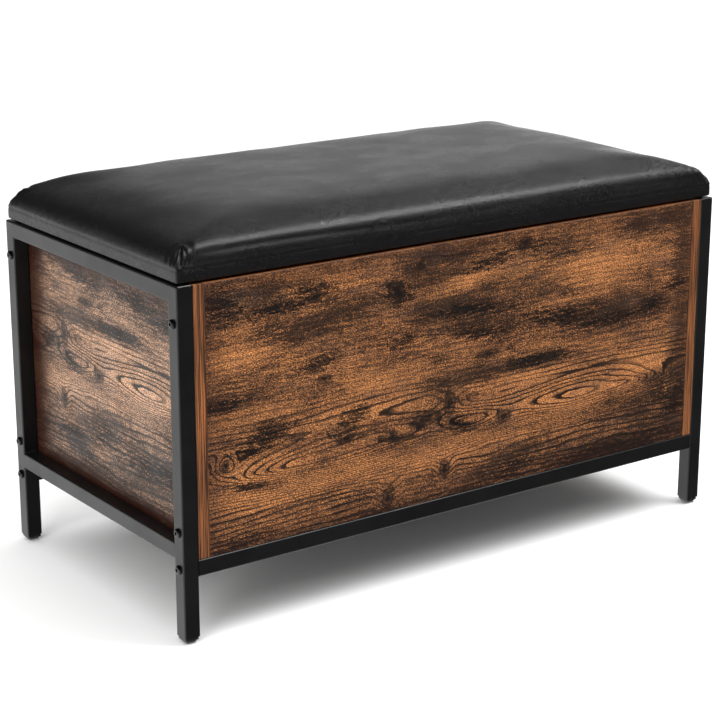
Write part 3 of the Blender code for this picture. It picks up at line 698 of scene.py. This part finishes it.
CLOTH = 0.25 * MM  # thickness
CLOTH_LAP = 5 * MM  # how far the dust cloth laps the leather's turned-under edge
CLOTH_SAG = 2.2 * MM  # how far its middle hangs down
CLOTH_SCALLOP, SCALLOP_REACH = 1.1 * MM, 8 * MM  # its edge pulls in so far between two staples
CLOTH_GRID = 191, 93  # its points along and across
STAPLE_PITCH = 52 * MM
STAPLE_CROWN, STAPLE_WIRE = 10 * MM, 0.7 * MM
STAPLE_SHOULDER, STAPLE_DEPTH = 0.9 * MM, 1.2 * MM  # radius of the bends, and how deep the legs go
STAPLE_INSET = 2.2 * MM  # from the cloth's cut edge
HINGE_LEAF = 218 * MM, 292 * MM  # where the hinge leaves lie on the cloth, from the middle
SEAM = 184.85 * MM  # where the side rails meet the legs, from the middle
# A dressed seam's rings: (how far proud of the tube, how far towards the leg) in millimetres
SEAM_RINGS = ((-0.4, -0.9), (-0.002, -0.9), (0.012, -0.4), (0.012, 2.2), (-0.002, 2.8), (-0.4, 2.8))
TUBE, TUBE_CORNER = 20 * MM, 2 * MM  # width of the square tube and radius of its corners
LEG_X = 390 * MM  # middles of the legs
BEAD = 2.5 * MM  # how far a weld's bead reaches along the leg and the rail
BEAD_STEPS, BEAD_RIPPLES = 44, 11


def mesh_from(bm, name):
    """The mesh of a finished bmesh, its faces turned outwards."""
    bmesh.ops.recalc_face_normals(bm, faces=bm.faces)
    mesh = bpy.data.meshes.new(name)
    bm.to_mesh(mesh)
    bm.free()
    return mesh


def link(name, mesh, made, body):
    """A new piece with a material, a body to ride on and a material slot."""
    obj = bpy.data.objects.new(name, mesh)
    bpy.context.scene.collection.objects.link(obj)
    for face in mesh.polygons:
        face.use_smooth = True
    mesh.set_sharp_from_angle(angle=math.radians(60))
    wear(obj, made)
    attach(obj, body)
    return obj


def swept(bm, rings, closed=False):
    """Faces between rings of vertices, with a cap on each end unless the last ring meets the first."""
    count = len(rings[0])
    for one, two in zip(rings, rings[1:] + rings[:1] if closed else rings[1:]):
        for k in range(count):
            bm.faces.new((one[k], one[(k + 1) % count], two[(k + 1) % count], two[k]))
    if not closed:
        bm.faces.new(rings[0])
        bm.faces.new(list(reversed(rings[-1])))


def spaced(low, high):
    """Places for staples from low to high, a third of a pitch in from each end."""
    first, last = low + STAPLE_PITCH / 3, high - STAPLE_PITCH / 3
    return np.linspace(first, last, int((last - first) / STAPLE_PITCH))


def staple_places(low, high):
    """Middles and directions of the staples along the cloth's four edges, clear of the hinge leaves."""
    places = []
    for level in (low.y + STAPLE_INSET, high.y - STAPLE_INSET):
        for x in spaced(low.x, high.x):
            by_hinge = level > 0 and HINGE_LEAF[0] < abs(x) < HINGE_LEAF[1]
            if not by_hinge:
                places.append((x, level, 0.0))
    for level in (low.x + STAPLE_INSET, high.x - STAPLE_INSET):
        places += [(level, y, math.pi / 2) for y in spaced(low.y, high.y)]
    return places


def make_dust_cloth(made):
    """Non-woven cloth stapled over the lid's underside: it sags a little and puckers at each staple."""
    low, high = (corner.copy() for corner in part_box("dust_cover"))
    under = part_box("leather_cover")[0].z
    low.x -= CLOTH_LAP
    low.y -= CLOTH_LAP
    high.x += CLOTH_LAP
    high.y += CLOTH_LAP
    places = np.array(staple_places(low, high))
    xs = np.linspace(low.x, high.x, CLOTH_GRID[0])
    ys = np.linspace(low.y, high.y, CLOTH_GRID[1])
    x, y = np.meshgrid(xs, ys, indexing="ij")
    from_side = np.minimum(x - low.x, high.x - x)
    from_end = np.minimum(y - low.y, high.y - y)
    edge = np.minimum(from_side, from_end)
    far = np.min([np.hypot(x - px, y - py) for px, py, _ in places], axis=0)

    slack = smooth(far, 4 * MM, 24 * MM) * (1 - smooth(edge, 10 * MM, 70 * MM))
    ripple = np.array([[noise.noise(Vector((a * 26, b * 26, 0))) for b in ys] for a in xs])
    drop = CLOTH_SAG * smooth(edge, 9 * MM, 120 * MM) * (1 + 0.25 * ripple)
    drop += smooth(edge, 7 * MM, 22 * MM) * slack * 0.35 * MM * (1 + ripple)
    z = under - 0.02 * MM - drop
    scallop = CLOTH_SCALLOP * smooth(far, 5 * MM, 26 * MM) * (1 - smooth(edge, 0, SCALLOP_REACH))
    x = x - np.where(from_side < SCALLOP_REACH, np.sign(x), 0) * scallop
    y = y - np.where(from_end < SCALLOP_REACH, np.sign(y), 0) * scallop

    bm = bmesh.new()
    layers = []
    for offset in (0, -CLOTH):
        layers.append([[bm.verts.new((x[i, j], y[i, j], z[i, j] + offset)) for j in range(len(ys))]
                       for i in range(len(xs))])
    for layer in layers:
        quads(bm, layer)
    rim = rim_of(*CLOTH_GRID)
    for (i, j), (k, l) in zip(rim, rim[1:] + rim[:1]):
        bm.faces.new((layers[0][i][j], layers[0][k][l], layers[1][k][l], layers[1][i][j]))
    cloth = link("dust_cloth", mesh_from(bm, "dust_cloth"), made, "lid")
    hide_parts("dust_cover")
    make_staples(places, under - CLOTH)


def make_staples(places, level):
    """Flat-crowned wire staples with rounded shoulders. level is the cloth's lower face at its edge."""
    wire = STAPLE_WIRE / 2
    path = [(-STAPLE_CROWN / 2, STAPLE_DEPTH)]
    for step in range(6):
        turn = math.pi / 2 * step / 5
        path.append((-STAPLE_CROWN / 2 + STAPLE_SHOULDER * (1 - math.cos(turn)),
                     STAPLE_SHOULDER * (1 - math.sin(turn))))
    path += [(-x, z) for x, z in reversed(path)]
    bm = bmesh.new()
    for px, py, spin in places:
        rings = []
        for n, (x, z) in enumerate(path):
            before, after = path[max(n - 1, 0)], path[min(n + 1, len(path) - 1)]
            along = Vector((after[0] - before[0], 0, after[1] - before[1])).normalized()
            up = Vector((-along.z, 0, along.x))
            ring = []
            for k in range(8):
                around = 2 * math.pi * (k + 0.5) / 8
                point = Vector((x, 0, z)) + up * (wire * 0.6 * math.cos(around))
                point.y += wire * math.sin(around)
                spun = Vector((point.x * math.cos(spin) - point.y * math.sin(spin),
                               point.x * math.sin(spin) + point.y * math.cos(spin), point.z))
                ring.append(bm.verts.new(spun + Vector((px, py, level - wire * 0.5))))
            rings.append(ring)
        swept(bm, rings)
    wire_look = metal("staple_wire", shade(170, 172, 176), shade(140, 142, 146), 0.3, (0.6, 0.6, 3))
    link("cloth_staples", mesh_from(bm, "cloth_staples"), wire_look, "lid")


def make_welds(made):
    """Welds where the side rails meet the legs: dressed flush round the tube, and a rippled bead left
    in each inside corner."""
    bm = bmesh.new()
    for side, hand in ((-1, "left"), (1, "right")):
        for end in (-1, 1):
            for name in ("top", "bottom"):
                low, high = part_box(f"side_{name}_rail_{hand}")
                middle = (low.z + high.z) / 2
                dress_seam(bm, side * LEG_X, end * SEAM, middle, end)
                for way in ((-1,) if name == "top" else (-1, 1)):
                    lay_bead(bm, side * LEG_X, end * (SEAM + 0.15 * MM), middle + way * TUBE / 2, -end, way)
    link("weld_beads", mesh_from(bm, "weld_beads"), made, "chest")


def dress_seam(bm, x, y, z, way):
    """A thin ring round a rail's end that fills the groove beside the leg's rounded corner, a hair proud
    of the tube. way is the way along y to the leg."""
    rings = []
    flat = TUBE / 2 - TUBE_CORNER
    for proud, shift in SEAM_RINGS:
        radius = TUBE_CORNER + proud * MM
        ring = []
        for corner in range(4):
            cx = flat if corner in (0, 3) else -flat
            cz = flat if corner in (0, 1) else -flat
            for step in range(5):
                turn = math.pi / 2 * (corner + step / 4)
                ring.append(bm.verts.new((x + cx + radius * math.cos(turn), y + way * shift * MM,
                                          z + cz + radius * math.sin(turn))))
        rings.append(ring)
    swept(bm, rings, closed=True)


def lay_bead(bm, x, y, z, toward, way):
    """A bead along x in the corner between a leg's face and a rail's. toward is the way out from the
    leg along y and way the way out from the rail along z."""
    rings = []
    for n in range(BEAD_STEPS + 1):
        share = n / BEAD_STEPS
        at = x + (share - 0.5) * (TUBE - 2.4 * MM)
        rough = 0.12 * noise.noise(Vector((at, y, z)) * 180)
        ripple = 1 + 0.1 * math.sin(share * 2 * math.pi * BEAD_RIPPLES) + rough
        size = BEAD * ripple * math.sqrt(max(1 - (2 * share - 1) ** 8, 0.02))
        ring = [bm.verts.new((at, y - toward * 0.2 * MM, z - way * 0.2 * MM))]
        for step in range(7):
            turn = math.pi / 2 * step / 6
            bulge = size * (0.86 if 0 < step < 6 else 1.0)
            ring.append(bm.verts.new((at, y + toward * bulge * math.cos(turn),
                                      z + way * bulge * math.sin(turn))))
        rings.append(ring)
    swept(bm, rings)


# ---------------------------------------------------------------- carried-over nodes


def dress_frame():
    """Gives every CAD node the finished material for the start of its name, or else the powder coat,
    and adds the dust cloth and the welds."""
    coat = powder_coat()
    zinc = metal("zinc", shade(196, 198, 202), shade(166, 168, 172), 0.3, (9, 0.8, 0.8))
    oxide = metal("black_oxide", shade(86, 86, 88), shade(62, 62, 64), 0.27, (0.8, 0.8, 0.8))
    steel = metal("bare_steel", shade(150, 150, 152), shade(120, 120, 122), 0.4, (6, 1, 1))
    raw = dull("raw_board", shade(176, 142, 102), shade(120, 90, 60), 0.8, (5, 2, 5), 0.1 * MM)
    plastic = dull("glide_plastic", shade(20, 20, 21), shade(30, 30, 31), 0.45, (0.8, 0.8, 0.8), 0.02 * MM)
    rubber = dull("rubber", shade(22, 22, 22), shade(36, 36, 36), 0.8, (0.7, 0.7, 0.7), 0.03 * MM)
    fabric = dull("dust_fabric", shade(22, 22, 23), shade(34, 34, 35), 0.95, (0.9, 0.5, 0.9), 0.1 * MM)
    looks = {name: board_material(name, *board) for name, board in BOARDS.items()}
    looks.update({"lid_board": raw, "foot_glide": plastic, "lid_bumper": rubber, "bolt_": oxide})
    looks.update({"rail_nut": steel, "hinge_": zinc, "lid_leaf_screw": zinc, "panel_leaf_screw": zinc})
    for name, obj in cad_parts.items():
        found = [look for start, look in looks.items() if name.startswith(start)]
        wear(obj, found[0] if found else coat)
    make_dust_cloth(fabric)
    make_welds(coat)


# ---------------------------------------------------------------- stage


def softbox(name, at, target, size, power, seen=True):
    """A rectangular light aimed at target. seen says whether gloss mirrors it."""
    light = bpy.data.lights.new(name, "AREA")
    light.shape = "RECTANGLE"
    light.size, light.size_y = size
    light.energy = power
    obj = bpy.data.objects.new(name, light)
    obj.location = at
    obj.rotation_euler = (Vector(target) - Vector(at)).to_track_quat("-Z", "Y").to_euler()
    obj.visible_camera = False
    obj.visible_glossy = seen
    bpy.context.scene.collection.objects.link(obj)


def make_world():
    """A plain studio: white to the camera, and a dim room with a bright floor to everything else."""
    world = bpy.data.worlds.new("studio")
    bpy.context.scene.world = world
    world.use_nodes = True
    tree = world.node_tree
    tree.nodes.clear()
    graph = Graph(tree)
    way = graph.node("ShaderNodeTexCoord", {}).outputs["Generated"]
    rise = graph.node("ShaderNodeSeparateXYZ", {0: way}).outputs[2]

    def towards(x, y, z):
        """How nearly a ray goes that way: 1 straight along it, 0 square to it."""
        return graph.dot(way, tuple(Vector((x, y, z)).normalized()))

    below = graph.ramp(rise, 0.02, -0.12)
    ground = graph.ramp(towards(0.56, -0.78, -0.2), 0.85, -0.1, 0.05, 1.35)  # darkest to the front right
    glow = graph.ramp(towards(0.68, 0.7, 0.2), 0.888, 0.995, 0.0, 0.76)
    level = graph.add(graph.times(below, ground), glow, 0.05)
    room = graph.node("ShaderNodeBackground", {0: (1, 1, 1, 1), 1: level}).outputs[0]
    white = graph.node("ShaderNodeBackground", {0: (1, 1, 1, 1), 1: 1.1}).outputs[0]
    seen = graph.node("ShaderNodeLightPath", {}).outputs["Is Camera Ray"]
    both = graph.node("ShaderNodeMixShader", {0: seen, 1: room, 2: white}).outputs[0]
    graph.node("ShaderNodeOutputWorld", {0: both})


def make_stage():
    """The floor, the lights, the world and the camera."""
    mesh = bpy.data.meshes.new("floor")
    bm = bmesh.new()
    bmesh.ops.create_circle(bm, cap_ends=True, radius=60, segments=64)
    bm.to_mesh(mesh)
    bm.free()
    floor = bpy.data.objects.new("floor", mesh)
    bpy.context.scene.collection.objects.link(floor)
    made, graph, connect = material("floor", 0.9, specular=0.0)
    soft = graph.noise(graph.place(), (400, 400, 400))
    connect(Base_Color=graph.mix(graph.ramp(soft, 0.2, 0.8), (0.88, 0.88, 0.88, 1), (0.9, 0.9, 0.9, 1)))
    wear(floor, made)
    floor.visible_glossy = False

    softbox("key", (1.15, -0.8, 2.3), (0, -0.1, 0.35), (1.4, 1.0), 50)
    sky = bpy.data.lights.new("overhead", "SUN")
    sky.energy = 3.4
    sky.angle = math.radians(100)
    overhead = bpy.data.objects.new("overhead", sky)
    overhead.visible_glossy = False
    bpy.context.scene.collection.objects.link(overhead)
    softbox("left", (-2.6, -1.1, 1.1), (0, 0, 0.25), (1.6, 1.8), 55, seen=False)
    make_world()

    camera = bpy.data.objects.new("camera", bpy.data.cameras.new("camera"))
    camera.location = CAMERA_AT
    camera.rotation_euler = (math.radians(90 - CAMERA_DOWN), 0, math.radians(CAMERA_TURN))
    camera.data.lens = CAMERA_LENS
    camera.data.sensor_width = 36
    bpy.context.scene.collection.objects.link(camera)
    bpy.context.scene.camera = camera
    bpy.context.scene.view_settings.view_transform = "Standard"


make_stage()
make_seat()
dress_frame()
